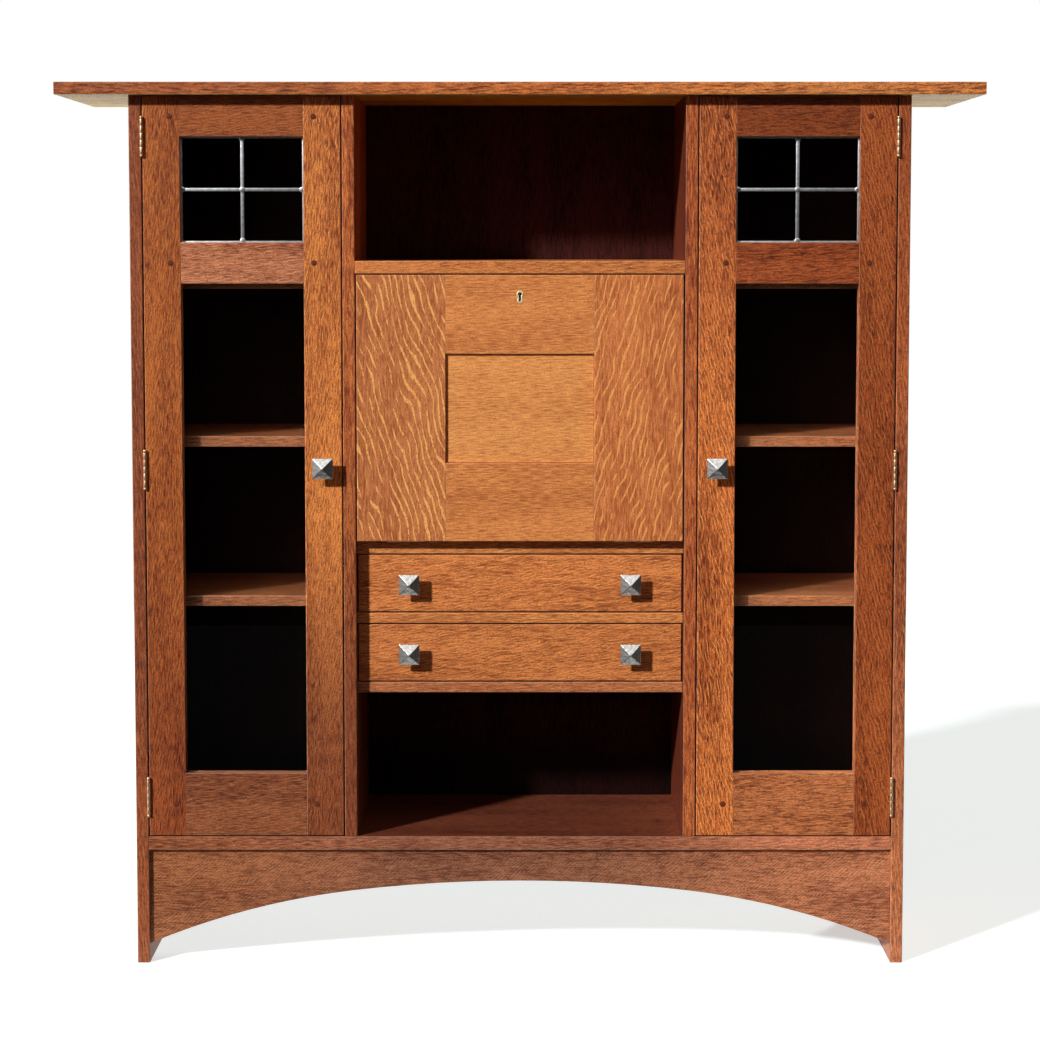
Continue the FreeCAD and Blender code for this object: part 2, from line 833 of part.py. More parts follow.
stay_slope = stay_lean + stay_lag / 2
stay_half_sweep = radians((stay_lag + fall_opening_angle) / 2)
stay_room = panel_front - recess - stay_back_clearance - stay_width / 2 - stay_slot_play
stay_radius = stay_room / (sin(radians(stay_lean)) + 2 * sin(stay_half_sweep) * cos(radians(stay_slope)))
stay_closed = 2 * stay_radius * sin(radians(stay_lag / 2))
stay_open = 2 * stay_radius * sin(stay_half_sweep)
stay_outer = centre_face - stay_from_partition
stay_inner = stay_outer - stay_thickness


def round_fall_axis(angle):
    """The point at the stay's distance from the fall's hinge line, turned back from upright."""
    return fall_axis + V(0, stay_radius * sin(radians(angle)), stay_radius * cos(radians(angle)))


stay_pivot = round_fall_axis(stay_lean)
stay_guide = round_fall_axis(stay_lean + stay_lag)


def stay_arm():
    """A flat bar, round at both ends, with a pivot hole and a long slot, laid at the closed fall's angle."""
    def disc(radius, along):
        return rod(radius, V(stay_inner, along, 0), V(stay_outer, along, 0))

    def capsule(radius, start, end):
        bar = box(stay_inner, stay_outer, start, end, -radius, radius)
        return bar.fuse([disc(radius, start), disc(radius, end)]).removeSplitter()

    slot = capsule(stay_pin + stay_slot_play, stay_closed, stay_open)
    arm = capsule(stay_width / 2, 0, stay_open + stay_slot_play)
    arm = arm.cut([slot, disc(stay_pin + running_fit, 0)])
    arm.rotate(V(0, 0, 0), V(1, 0, 0), -stay_slope)
    arm.translate(V(0, stay_pivot.y, stay_pivot.z))
    return arm


def stay_stud(place, base):
    """A pin along X from a plate, through the arm, with a shoulder before it and a head after it."""
    def at(x):
        return V(x, place.y, place.z)

    seat = at(stay_outer + stay_slot_play)
    under_head = at(stay_inner - stay_slot_play)
    shoulder = dowel(stay_head, seat, at(base))
    pin = dowel(stay_pin, under_head, seat)
    head = dowel(stay_head, at(under_head.x - stay_head / 2), under_head)
    return pin.fuse([shoulder, head])


def stay_guides():
    """A plate on each partition with the pin that the arm's slot runs on."""
    half = stay_plate_length / 2
    plate = box(centre_face - stay_plate_thickness, centre_face,
                stay_guide.y - half / 2, stay_guide.y + half / 2, stay_guide.z - half, stay_guide.z + half)
    stud = stay_stud(stay_guide, centre_face - stay_plate_thickness)
    return both_sides([plate.fuse(stud).removeSplitter()])


def stay_brackets():
    """An angle plate on each end of the fall's inner face with the pin that the arm turns on."""
    half = stay_plate_length / 2
    ear_outer = stay_outer + stay_slot_play + stay_plate_thickness + stay_head / 4
    ear = box(ear_outer - stay_plate_thickness, ear_outer, recess, stay_pivot.y + stay_head,
              stay_pivot.z - stay_head, stay_pivot.z + stay_head)
    foot = box(ear_outer - stay_plate_length / 2, ear_outer, recess, recess + stay_plate_thickness,
               stay_pivot.z - half, stay_pivot.z + half)
    stud = stay_stud(stay_pivot, ear_outer - stay_plate_thickness)
    return both_sides([foot.fuse([ear, stud]).removeSplitter()])


# Drawers

drawer_edge = centre_face - drawer_side_gap
drawer_back_plane = recess + drawer_front_thickness
drawer_rear = panel_front - drawer_rear_gap


def tails(seat):
    """The dovetails at the front end of a drawer's right side, narrow at the shoulder and wide at the tip."""
    low = seat + drawer_gap
    pitch = (drawer_front_height - drawer_side_drop) / tail_count
    solids = []
    for place in range(tail_count):
        middle = low + pitch * (place + 0.5)
        root = tail_height / 2 - tail_flare
        tip = tail_height / 2
        x = drawer_edge - drawer_side_thickness
        corners = [V(x, drawer_back_plane, middle - root), V(x, drawer_back_plane, middle + root),
                   V(x, drawer_back_plane - tail_length, middle + tip),
                   V(x, drawer_back_plane - tail_length, middle - tip)]
        solids.append(flat(corners).extrude(V(drawer_side_thickness, 0, 0)))
    return solids


def bottom_board(seat, reach):
    """The drawer's bottom, standing in grooves in the sides and the front and under the back."""
    half = drawer_edge - drawer_side_thickness + reach
    z0 = seat + drawer_running_gap + drawer_bottom_rise
    return box(-half, half, drawer_back_plane - reach, drawer_rear, z0, z0 + drawer_bottom_thickness)


def drawer_front(seat):
    z0 = seat + drawer_gap
    z1 = z0 + drawer_front_height
    board = box(-drawer_edge, drawer_edge, recess, drawer_back_plane, z0, z1)
    board = eased(board, "x", y=(recess,), z=(z0, z1))
    board = eased(board, "z", x=(-drawer_edge, drawer_edge), y=(recess,))
    return board.cut(both_sides(tails(seat)) + [bottom_board(seat, drawer_bottom_groove)])


def drawer_sides(seat):
    x0 = drawer_edge - drawer_side_thickness
    z0 = seat + drawer_running_gap
    z1 = seat + drawer_gap + drawer_front_height - drawer_side_drop
    side_board = box(x0, drawer_edge, drawer_back_plane, drawer_rear, z0, z1)
    grooves = [bottom_board(seat, drawer_bottom_groove), drawer_back(seat)]
    return both_sides([side_board.fuse(tails(seat)).cut(grooves).removeSplitter()])


def drawer_back(seat):
    half = drawer_edge - drawer_side_thickness + drawer_back_housing
    z0 = seat + drawer_running_gap + drawer_bottom_rise + drawer_bottom_thickness
    z1 = seat + drawer_gap + drawer_front_height - drawer_side_drop
    inset = drawer_back_thickness
    return box(-half, half, drawer_rear - 2 * inset, drawer_rear - inset, z0, z1)


def drawer_knobs(seat):
    height = seat + drawer_gap + drawer_front_height / 2
    return [knob(x, recess, height) for x in (-drawer_knob_offset, drawer_knob_offset)]


# Pigeonholes

pigeonhole_half = centre_face - pigeonhole_side_room
pigeonhole_inner = pigeonhole_half - pigeonhole_board
pigeonhole_front = panel_front - pigeonhole_depth


def pigeonhole_row(bays, z0, z1):
    """Thin upright partitions that divide one row into equal bays."""
    pitch = (2 * pigeonhole_inner + pigeonhole_board) / bays
    rights = [pitch * place - pigeonhole_inner for place in range(1, bays)]
    return [box(x1 - pigeonhole_board, x1, pigeonhole_front, panel_front, z0, z1) for x1 in rights]


def pigeonhole_shelves():
    tops = (desk_top + pigeonhole_shelf_rise, desk_top + pigeonhole_height)
    return [box(-pigeonhole_inner, pigeonhole_inner, pigeonhole_front, panel_front, z1 - pigeonhole_board, z1)
            for z1 in tops]


def pigeonhole_dividers():
    middle = desk_top + pigeonhole_shelf_rise
    roof = desk_top + pigeonhole_height
    end = box(pigeonhole_inner, pigeonhole_half, pigeonhole_front, panel_front, desk_top, roof)
    lower = pigeonhole_row(pigeonhole_lower_bays, desk_top, middle - pigeonhole_board)
    upper = pigeonhole_row(pigeonhole_upper_bays, middle, roof - pigeonhole_board)
    return both_sides([end]) + lower + upper


# Every piece, written out in the order in which the bookcase goes together

os.makedirs("parts", exist_ok=True)

save("top_board", top_board())
save("right_side", side())
save("left_side", mirrored(side()))
save("right_partition", partition())
save("left_partition", mirrored(partition()))
save("base_board", base_board())
save("apron", apron())
save("back_panels", *back_panels())
save("cubby_shelf", *cubby_shelf())
save("desk_floor", desk_floor())
save("drawer_frame", *drawer_frame())
save("lower_deck", cross_board(deck_bottom, deck_top, recess, panel_front))
save("bay_shelves", *bay_shelves())
save("shelf_pins", *both_sides(shelf_pins()))
save("door_catches", *door_catches())
save("pigeonhole_shelves", *pigeonhole_shelves())
save("pigeonhole_dividers", *pigeonhole_dividers())

door_pieces = {
    "door_stiles": door_stiles(),
    "door_rails": door_rail_boards(),
    "door_pegs": door_pegs(),
    "lead_came": [lead_came()],
    "leaded_panes": leaded_panes(),
    "long_pane": [long_pane()],
    "glass_stops": glass_stops(),
    "door_knob": [knob(door_lock_edge + door_stile / 2, front, door_knob_height)],
    "catch_plate": [catch_plate()],
    "hinge_door_leaves": door_hinge_leaves(door_hinge_edge - leaf_thickness, 1),
}
for name, solids in door_pieces.items():
    save("right_" + name, *solids)
    save("left_" + name, *[mirrored(solid) for solid in solids])

hinge_feet = [hinge_axis(height - hinge_length / 2) for height in hinge_heights]
ball_pins = [ball_pin(foot, V(0, 0, 1), hinge_length) for foot in hinge_feet]
save("hinge_case_leaves", *both_sides(door_hinge_leaves(side_face, 0)))
save("hinge_pins", *(both_sides(ball_pins) + fall_pins()))

save("fall_stiles", *fall_stiles())
save("fall_rails", *fall_rails())
save("fall_panel", fall_panel())
save("escutcheon", escutcheon())
save("lock_case", lock_case())
save("lock_bolt", bolt_box(0))
save("fall_hinge_bed_leaves", *bed_leaves())
save("fall_hinge_fall_leaves", *fall_leaves())
save("stay_arms", *both_sides([stay_arm()]))
save("stay_guides", *stay_guides())
save("stay_brackets", *stay_brackets())

for drawer, seat in (("upper_drawer", rail_top), ("lower_drawer", deck_top)):
    save(drawer + "_front", drawer_front(seat))
    save(drawer + "_sides", *drawer_sides(seat))
    save(drawer + "_back", drawer_back(seat))
    save(drawer + "_bottom", bottom_board(seat, drawer_bottom_groove))
    save(drawer + "_knobs", *drawer_knobs(seat))
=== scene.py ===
import bpy
from math import pi, radians, tan
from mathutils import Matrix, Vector


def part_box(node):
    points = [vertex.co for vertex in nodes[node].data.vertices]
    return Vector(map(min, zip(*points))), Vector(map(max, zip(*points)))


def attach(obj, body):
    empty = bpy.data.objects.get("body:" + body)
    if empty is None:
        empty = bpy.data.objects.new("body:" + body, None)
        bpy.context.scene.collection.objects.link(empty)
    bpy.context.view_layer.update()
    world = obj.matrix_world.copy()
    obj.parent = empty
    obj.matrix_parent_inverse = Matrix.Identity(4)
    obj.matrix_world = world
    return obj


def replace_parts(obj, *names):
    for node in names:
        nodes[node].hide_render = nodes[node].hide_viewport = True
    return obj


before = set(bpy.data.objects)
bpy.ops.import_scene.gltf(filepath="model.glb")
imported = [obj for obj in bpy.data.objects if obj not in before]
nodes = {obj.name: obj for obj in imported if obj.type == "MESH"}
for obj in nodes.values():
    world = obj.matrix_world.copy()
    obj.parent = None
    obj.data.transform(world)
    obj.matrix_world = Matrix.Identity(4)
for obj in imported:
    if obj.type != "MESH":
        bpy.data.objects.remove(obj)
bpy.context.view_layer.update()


# Top board: a wide panel of quarter-sawn white oak, glued up, planed, stained warm brown and sprayed with
# satin lacquer. It is painted paler below, as painted light bounced up from the floor. It is housed over
# the uprights and oversails them all round.
def linear(colour):
    """A hex sRGB colour as the linear values that a shader's socket takes."""
    shares = [int(colour[place:place + 2], 16) / 255 for place in (1, 3, 5)]
    curve = [share / 12.92 if share < 0.04045 else ((share + 0.055) / 1.055) ** 2.4 for share in shares]
    return curve + [1.0]


def add(owner, kind, sockets, **settings):
    """Adds one node with its settings, and gives each of its sockets a value or a link."""
    node = owner.node_tree.nodes.new("ShaderNode" + kind)
    for name, value in settings.items():
        setattr(node, name, value)
    for name, value in sockets.items():
        if isinstance(value, bpy.types.NodeSocket):
            owner.node_tree.links.new(value, node.inputs[name])
        else:
            node.inputs[name].default_value = value
    return node


def bare(name):
    """A new material with no nodes in it."""
    material = bpy.data.materials.new(name)
    material.use_nodes = True
    material.node_tree.nodes.clear()
    return material


# Stained oak gives the eye fine dark growth lines and pores along the board, pale ribbons where the rays
# come to the quarter-sawn face, and pale eased edges, partly where the stain is rubbed thin and partly a
# painted highlight
def oak(name, grain, deep, middle, pale, fleck, ribbon_mm, slant_deg, place_m, tones=(), book=None,
        coat=0.12):
    """Oak with its grain along an axis, its ground between a deep and a middle colour, and its rays pale.

    Fleck is how much of the pale colour the rays show, ribbon_mm is their spacing, slant_deg is how far
    they lean, and place_m sets where in the log the board lies. Each tone is a list of places, with the
    colour that multiplies the board's own there; most tones are painted shade, darker where the light falls
    off or where a face is turned from the lamp. A place is X, Z, or how far a face looks up or aside, with
    where the tone starts and where it is full. Book opens the left and right boards from one flitch, and is
    the share of the rays that the right one shows. Coat is the weight of the lacquer, and a board without
    it is dull.
    """
    material = bare(name)
    eased_radius, pore_depth, half_joint = 0.002, 0.0004, 0.01
    turn = {"x": (0, pi / 2, 0), "y": (pi / 2, 0, 0), "z": (0, 0, 0)}[grain]
    at = add(material, "TexCoord", {}).outputs["Object"]
    axes = add(material, "SeparateXYZ", {0: at}).outputs
    flat = add(material, "NewGeometry", {}).outputs["True Normal"]
    facing = add(material, "SeparateXYZ", {0: flat}).outputs
    spread = {"X": axes["X"], "Z": axes["Z"], "aside": facing["X"], "up": facing["Z"]}
    if book:
        side = add(material, "MapRange", {"Value": axes["X"], "From Min": -half_joint,
                                          "From Max": half_joint}).outputs[0]
        shift = add(material, "CombineXYZ", {"Y": side}).outputs[0]
        opened = add(material, "VectorMath", {0: at}, operation="ABSOLUTE").outputs[0]
        at = add(material, "VectorMath", {0: opened, 1: shift}, operation="ADD").outputs[0]
    log = add(material, "Mapping", {"Vector": at, "Rotation": turn,
                                    "Location": (place_m, 2 * place_m, 3 * place_m)}).outputs[0]

    # Oak's pores are about 0.3 mm wide, too fine to show here, so they are drawn coarser
    figure = {}
    for part, across_mm, along_mm, detail in (("board", 55, 500, 2), ("lines", 2.1, 18, 4),
                                              ("pores", 1.4, 3.5, 2),
                                              ("drift", 5 * ribbon_mm, 9 * ribbon_mm, 2),
                                              ("breaks", 1.1 * ribbon_mm, 6 * ribbon_mm, 2)):
        scale = (1000 / across_mm, 1000 / across_mm, 1000 / along_mm)
        sized = add(material, "VectorMath", {0: log, 1: scale}, operation="MULTIPLY").outputs[0]
        figure[part] = add(material, "TexNoise", {"Vector": sized, "Scale": 1.0,
                                                  "Detail": detail}).outputs[0]

    # The rays follow a wave across the board that leans and wanders, and they end where it is thinned out
    across = add(material, "VectorMath", {0: log, 1: (1, 1, tan(radians(slant_deg)))},
                 operation="DOT_PRODUCT").outputs["Value"]
    wander = add(material, "Math", {0: figure["drift"], 1: 3.4 * ribbon_mm / 1000, 2: across},
                 operation="MULTIPLY_ADD").outputs[0]
    turns = add(material, "Math", {0: wander, 1: 2000 * pi / ribbon_mm}, operation="MULTIPLY").outputs[0]
    wave = add(material, "Math", {0: turns}, operation="SINE").outputs[0]
    broken = add(material, "Math", {0: wave, 1: 0.5, 2: figure["breaks"]},
                 operation="MULTIPLY_ADD").outputs[0]
    crest = add(material, "Math", {0: figure["board"], 1: 0.4, 2: broken},
                operation="MULTIPLY_ADD").outputs[0]
    most = fleck
    if book:
        most = add(material, "MapRange", {"Value": side, "To Min": fleck,
                                          "To Max": book * fleck}).outputs[0]
    rays = add(material, "MapRange", {"Value": crest, "From Min": 1.08, "From Max": 1.18,
                                      "To Max": most}).outputs[0]

    # Growth lines and slow changes over the board set the ground, and the pores hold dark stain
    lines = add(material, "Math", {0: figure["board"], 1: 0.38, 2: figure["lines"]},
                operation="MULTIPLY_ADD").outputs[0]
    lines = add(material, "Math", {0: figure["drift"], 1: 0.16, 2: lines},
                operation="MULTIPLY_ADD").outputs[0]
    growth = add(material, "MapRange", {"Value": lines, "From Min": 0.564, "From Max": 0.894}).outputs[0]
    ground = add(material, "Mix", {0: growth, 6: linear(deep), 7: linear(middle)},
                 data_type="RGBA").outputs[2]
    rayed = add(material, "Mix", {0: rays, 6: ground, 7: linear(pale)}, data_type="RGBA").outputs[2]
    filled = add(material, "MapRange", {"Value": figure["pores"], "From Min": 0.48, "From Max": 0.32,
                                        "To Max": 0.8}).outputs[0]
    colour = add(material, "Mix", {0: filled, 6: rayed, 7: linear(deep)}, data_type="RGBA").outputs[2]
    # Each tone multiplies the colour where its places allow; most of them are painted shade
    for places, tone in tones:
        tone_share = 1.0
        for axis, near, far in places:
            tone_share = add(material, "MapRange", {"Value": spread[axis], "From Min": near, "From Max": far,
                                               "To Max": tone_share}).outputs[0]
        colour = add(material, "Mix", {0: tone_share, 6: colour, 7: linear(tone)}, data_type="RGBA",
                     blend_type="MULTIPLY").outputs[2]

    # Edges are eased by hand, and the lacquer's light catches there. Their colour is also mixed towards a
    # pale one, partly as stain rubbed thin and partly as a painted highlight, along the grain only, because
    # a board's ends meet its neighbours
    eased = add(material, "Bevel", {"Radius": eased_radius}, samples=4).outputs[0]
    turned = add(material, "VectorMath", {0: flat, 1: eased}, operation="DOT_PRODUCT").outputs["Value"]
    along = [0 if axis == grain else 1 for axis in "xyz"]
    ridge = add(material, "VectorMath", {0: eased, 1: along}, operation="MULTIPLY").outputs[0]
    ridge = add(material, "VectorMath", {0: ridge}, operation="NORMALIZE").outputs[0]
    level = add(material, "VectorMath", {0: flat, 1: ridge}, operation="DOT_PRODUCT").outputs["Value"]
    level = add(material, "Math", {0: turned, 1: level}, operation="MAXIMUM").outputs[0]
    rubbed_and_highlight = add(material, "MapRange", {"Value": level, "From Min": 0.97, "From Max": 0.75,
                                        "To Max": 0.55}).outputs[0]
    # The pale edge colour: partly rubbed stain, partly a painted highlight
    worn = linear("#f4c8a2" if coat else pale)
    colour = add(material, "Mix", {0: rubbed_and_highlight, 6: colour, 7: worn}, data_type="RGBA").outputs[2]
    satin = add(material, "MapRange", {"Value": rays, "To Min": 0.48, "To Max": 0.38}).outputs[0]
    relief = add(material, "Bump", {"Height": figure["pores"], "Normal": eased, "Strength": 0.3,
                                    "Distance": pore_depth}).outputs[0]
    lacquer = add(material, "BsdfPrincipled", {"Base Color": colour, "Roughness": satin, "Normal": relief,
                                               "Specular IOR Level": 0.3 if coat else 0.1,
                                               "Coat Weight": coat, "Coat Roughness": 0.3}).outputs[0]
    add(material, "OutputMaterial", {"Surface": lacquer})
    return material


def dress(material, *names):
    """Gives the frame's pieces of these names the material in place of their plain one."""
    for name in names:
        nodes[name].data.materials.clear()
        nodes[name].data.materials.append(material)


# Painted light: paler underneath as the floor's bounce, lighter to the right end, darker and cooler to the
# left
all_but_underside = ("up", -0.6, -0.4)
dress(oak("top_oak", "x", "#6f3d19", "#ffcc5f", "#fffb90",
          fleck=0.3, ribbon_mm=8, slant_deg=6, place_m=0.31,
          tones=[([all_but_underside], "#e3b0c8"), ([all_but_underside, ("X", 0.45, 0.1)], "#fbebdc"),
                 ([all_but_underside, ("X", 0, -0.55)], "#dbd8f6")]), "top_board")

# Sides and partitions: upright oak boards with their grain standing, housed into the top above and the base
# below. The sides go down to the floor as feet. As painted shade, the left side is darker than the right,
# the right side darker towards the top, the left partition darker and cooler towards the bottom, and the
# right partition darker on its face towards the centre.
# Painted shade: darker towards the top
dress(oak("right_side_oak", "z", "#66331f", "#ca774b", "#fcab6d",
          fleck=0.35, ribbon_mm=7, slant_deg=7, place_m=0.77,
          tones=[([("Z", 0.25, 1.1)], "#e7ceb3")]), "right_side")
# Painted shade: this board is painted darker than the right side
dress(oak("left_side_oak", "z", "#502314", "#a25530", "#ce814b",
          fleck=0.35, ribbon_mm=7, slant_deg=7, place_m=0.77), "left_side")
# Painted shade: darker on the face that looks towards the centre
dress(oak("right_partition_oak", "z", "#732b14", "#d1753d", "#eb9354",
          fleck=0.35, ribbon_mm=7, slant_deg=9, place_m=0.97,
          tones=[([("aside", -0.4, -0.6)], "#907c90")]), "right_partition")
# Painted shadow: darker and cooler towards the bottom
dress(oak("left_partition_oak", "z", "#762e14", "#d77b3e", "#f19a55",
          fleck=0.35, ribbon_mm=7, slant_deg=9, place_m=0.97,
          tones=[([("Z", 0.9, 0.45)], "#ada6bf")]), "left_partition")

# Base board and apron: the base is housed in the sides, and the apron, sawn to a flat arch, stands under
# its front edge. Both are oak with level grain, and the apron shows a fine ray figure. Both are painted
# darker and cooler in the middle and darker at the left end, and the base's top face darker still, as
# painted shade.
# Painted shade: darker and cooler in the middle, darker at the left end
base_painted_shade = [([("X", 0.45, 0.15), ("X", -0.5, -0.2)], "#c5c9d3"), ([("X", -0.2, -0.5)], "#d8d4c4")]
# The base's top face is painted darker still, as painted shade
dress(oak("base_oak", "x", "#763822", "#da8860", "#f0a878",
          fleck=0.3, ribbon_mm=6, slant_deg=9, place_m=1.21,
          tones=base_painted_shade + [([("up", 0.4, 0.6)], "#bea49b")]), "base_board")
dress(oak("apron_oak", "x", "#6a321d", "#c47a53", "#f2b280",
          fleck=0.38, ribbon_mm=5.5, slant_deg=38, place_m=1.33, tones=base_painted_shade), "apron")

# Back: three thin oak panels with upright grain, stained very dark and left dull. The outer ones, behind
# the glass bays, and the lowest part of all three are painted darker still, as painted shade. They lie in
# the rabbets of the sides, meet behind the partitions, and are held along their edges by slotted steel
# screws.
partition_low, partition_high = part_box("right_partition")
seam, seam_width = (partition_low[0] + partition_high[0]) / 2, 0.0005
# Painted shade: the outer panels, behind the bays, and the lowest part of all three are darker
dress(oak("back_oak", "z", "#190908", "#411a16", "#55241a",
          fleck=0.2, ribbon_mm=7, slant_deg=7, place_m=1.9,
          tones=[([("X", seam, seam + seam_width)], "#908c96"),
                 ([("X", -seam, -seam - seam_width)], "#908c96"),
                 ([("Z", 0.36, 0.28)], "#858188")], coat=0.0), "back_panels")


def solids(node):
    """The low and high corners of each separate solid in a frame's piece."""
    mesh = nodes[node].data
    spots = [tuple(round(value, 5) for value in corner.co) for corner in mesh.vertices]
    linked = {spot: spot for spot in spots}

    def first(spot):
        while linked[spot] != spot:
            spot = linked[spot]
        return spot

    for face in mesh.polygons:
        for corner in face.vertices[1:]:
            linked[first(spots[corner])] = first(spots[face.vertices[0]])
    groups = {}
    for spot in linked:
        groups.setdefault(first(spot), []).append(spot)
    return [(Vector(map(min, zip(*group))), Vector(map(max, zip(*group)))) for group in groups.values()]


def pick(piece, kind, test):
    """Selects, in edit mode, only the faces or edges of a new piece that pass the test."""
    bpy.ops.object.mode_set(mode="EDIT")
    bpy.ops.mesh.select_mode(type=kind)
    bpy.ops.mesh.select_all(action="DESELECT")
    bpy.ops.object.mode_set(mode="OBJECT")
    for part in piece.data.polygons if kind == "FACE" else piece.data.edges:
        part.select = test(part)
    bpy.ops.object.mode_set(mode="EDIT")


def smooth(piece):
    """Shades a piece smooth except over its sharp edges."""
    sharp_deg = 35
    bpy.ops.object.select_all(action="DESELECT")
    piece.select_set(True)
    bpy.context.view_layer.objects.active = piece
    bpy.ops.object.shade_smooth_by_angle(angle=radians(sharp_deg))


def set_out(name, model, places, turn, material, body):
    """Joins copies of the model at the places, all turned one way, into a piece that rides on a body."""
    bpy.ops.object.select_all(action="DESELECT")
    for place in places:
        copy = model.copy()
        copy.data = model.data.copy()
        bpy.context.collection.objects.link(copy)
        copy.location = place
        copy.rotation_euler = turn
        copy.select_set(True)
        bpy.context.view_layer.objects.active = copy
    bpy.ops.object.join()
    bpy.ops.object.transform_apply()
    piece = bpy.context.object
    piece.name = name
    piece.data.materials.clear()
    piece.data.materials.append(material)
    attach(piece, body)
    return piece


# Metal gives the eye a reflection that is clearer where hands or polish have kept it bright
def metal(name, dull, bright, patch_mm, polished, worn):
    """A metal that is dull or bright in soft patches, with fine marks in its surface.

    Polished is how rough it is where it is bright, and worn how rough it is where it is dull.
    """
    mark_mm, mark_depth = 1.2, 0.0002
    material = bare(name)
    at = add(material, "TexCoord", {}).outputs["Object"]
    patches = add(material, "TexNoise", {"Vector": at, "Scale": 1000 / patch_mm, "Detail": 4}).outputs[0]
    tone = add(material, "MapRange", {"Value": patches, "From Min": 0.35, "From Max": 0.65}).outputs[0]
    colour = add(material, "Mix", {0: tone, 6: linear(dull), 7: linear(bright)},
                 data_type="RGBA").outputs[2]
    polish = add(material, "MapRange", {"Value": tone, "To Min": worn, "To Max": polished}).outputs[0]
    marks = add(material, "TexNoise", {"Vector": at, "Scale": 1000 / mark_mm, "Detail": 3}).outputs[0]
    relief = add(material, "Bump", {"Height": marks, "Strength": 0.12, "Distance": mark_depth}).outputs[0]
    skin = add(material, "BsdfPrincipled", {"Base Color": colour, "Metallic": 1.0, "Roughness": polish,
                                            "Normal": relief}).outputs[0]
    add(material, "OutputMaterial", {"Surface": skin})
    return material


steel = metal("zinc_plated_steel", "#77787a", "#b4b6b8", patch_mm=6, polished=0.3, worn=0.45)
screw_radius, screw_depth, screw_proud, screw_rim, screw_crown = 0.003, 0.0012, 0.0003, 0.0006, 0.0002
slot_length, slot_width, slot_height = 0.008, 0.0008, 0.001
bpy.ops.object.select_all(action="DESELECT")
bpy.ops.mesh.primitive_cylinder_add(vertices=20, radius=screw_radius, depth=screw_depth)
screw = bpy.context.object
pick(screw, "FACE", lambda face: face.normal.z > 0.9)
bpy.ops.mesh.inset(thickness=screw_rim)
bpy.ops.transform.translate(value=(0, 0, screw_crown))
bpy.ops.object.mode_set(mode="OBJECT")
bpy.ops.mesh.primitive_cube_add(size=1, location=(0, 0, screw_depth / 2),
                                scale=(slot_length, slot_width, slot_height))
slot_cutter = bpy.context.object
slotted = screw.modifiers.new("slot", "BOOLEAN")
slotted.object = slot_cutter
bpy.context.view_layer.objects.active = screw
bpy.ops.object.modifier_apply(modifier="slot")
bpy.data.objects.remove(slot_cutter)
smooth(screw)

screw_sink = screw_depth / 2 - screw_proud
panel_margin, panel_pitch = 0.012, 0.24
back_screws = []
for low, high in solids("back_panels"):
    rows = round((high.z - low.z - 2 * panel_margin) / panel_pitch)
    step = (high.z - low.z - 2 * panel_margin) / rows
    heights = [low.z + panel_margin + row * step for row in range(rows + 1)]
    for x in (low.x + panel_margin, high.x - panel_margin):
        back_screws += [(x, high.y - screw_sink, z) for z in heights]
set_out("back_panel_screws", screw, back_screws, (-pi / 2, 0, 0), steel, "case")

# Boards across the centre and shelves in the bays: oak with level grain. The shelves in the bays are
# painted darker, and those in the left bay darker still, as painted shade behind the glass. The boards
# are housed in the partitions, and the shelves lie loose on turned steel pins.
dress(oak("cross_oak", "x", "#8a451f", "#e69350", "#fcbc72",
          fleck=0.35, ribbon_mm=6, slant_deg=9, place_m=2.05,
          tones=[([("Z", 0.7, 1.0)], "#f6efec")]), "cubby_shelf", "desk_floor", "drawer_frame")
dress(oak("deck_oak", "x", "#71361d", "#c57849", "#dea26f",
          fleck=0.35, ribbon_mm=6, slant_deg=9, place_m=2.15), "lower_deck")
# Painted shade: the bay shelves darker, and the left bay's darker still
dress(oak("shelf_oak", "x", "#5d2b16", "#a2613b", "#b78357",
          fleck=0.35, ribbon_mm=6, slant_deg=9, place_m=2.15,
          tones=[([("X", 0.2, -0.2)], "#e7e5e2")]), "bay_shelves")
dress(steel, "shelf_pins")

# Pigeonholes: a nest of thin oak boards at the back of the desk, with a thin stain. The dividers stand
# between the long shelves and are glued there.
dress(oak("pigeonhole_oak", "x", "#6a3a1c", "#a86c3c", "#c08a58",
          fleck=0.3, ribbon_mm=6, slant_deg=8, place_m=5.2),
      "pigeonhole_shelves", "pigeonhole_dividers")

# Doors: frames of quarter-sawn oak, tenoned at the corners, with loose stops behind the glass. As
# painted shade, on each door the stile by the hinges is darker, the upper rails and the top of the right
# lock stile are darker under the top, and the left door darkens towards the bottom.
# Painted shade: the hinge stile darker, and the lock stile darker at its top
dress(oak("right_stile_oak", "z", "#64250f", "#e27e3d", "#feab5d",
          fleck=0.7, ribbon_mm=6, slant_deg=16, place_m=2.3,
          tones=[([("X", 0.4, 0.55)], "#c0aead"), ([("X", 0.5, 0.4), ("Z", 0.95, 1.15)], "#eae4ec")]),
      "right_door_stiles")
# Painted shade: the hinge stile darker, and both stiles darker and cooler towards the bottom
dress(oak("left_stile_oak", "z", "#732c14", "#e88c43", "#ffb362",
          fleck=0.5, ribbon_mm=5, slant_deg=-14, place_m=2.6,
          tones=[([("X", -0.4, -0.55)], "#d4c4ba"), ([("Z", 0.75, 0.35)], "#d8c9df"),
                 ([("X", -0.5, -0.4), ("Z", 0.75, 0.4)], "#c9c7d1")]), "left_door_stiles")
# Painted shade: the middle and top rails darker, the top one most
dress(oak("right_rail_oak", "x", "#60250f", "#c97948", "#e59b60",
          fleck=0.4, ribbon_mm=5, slant_deg=10, place_m=2.9,
          tones=[([("Z", 0.9, 1.15)], "#dbbaa3"), ([("Z", 1.22, 1.38)], "#d6d3c8")]),
      "right_door_rails", "right_glass_stops")
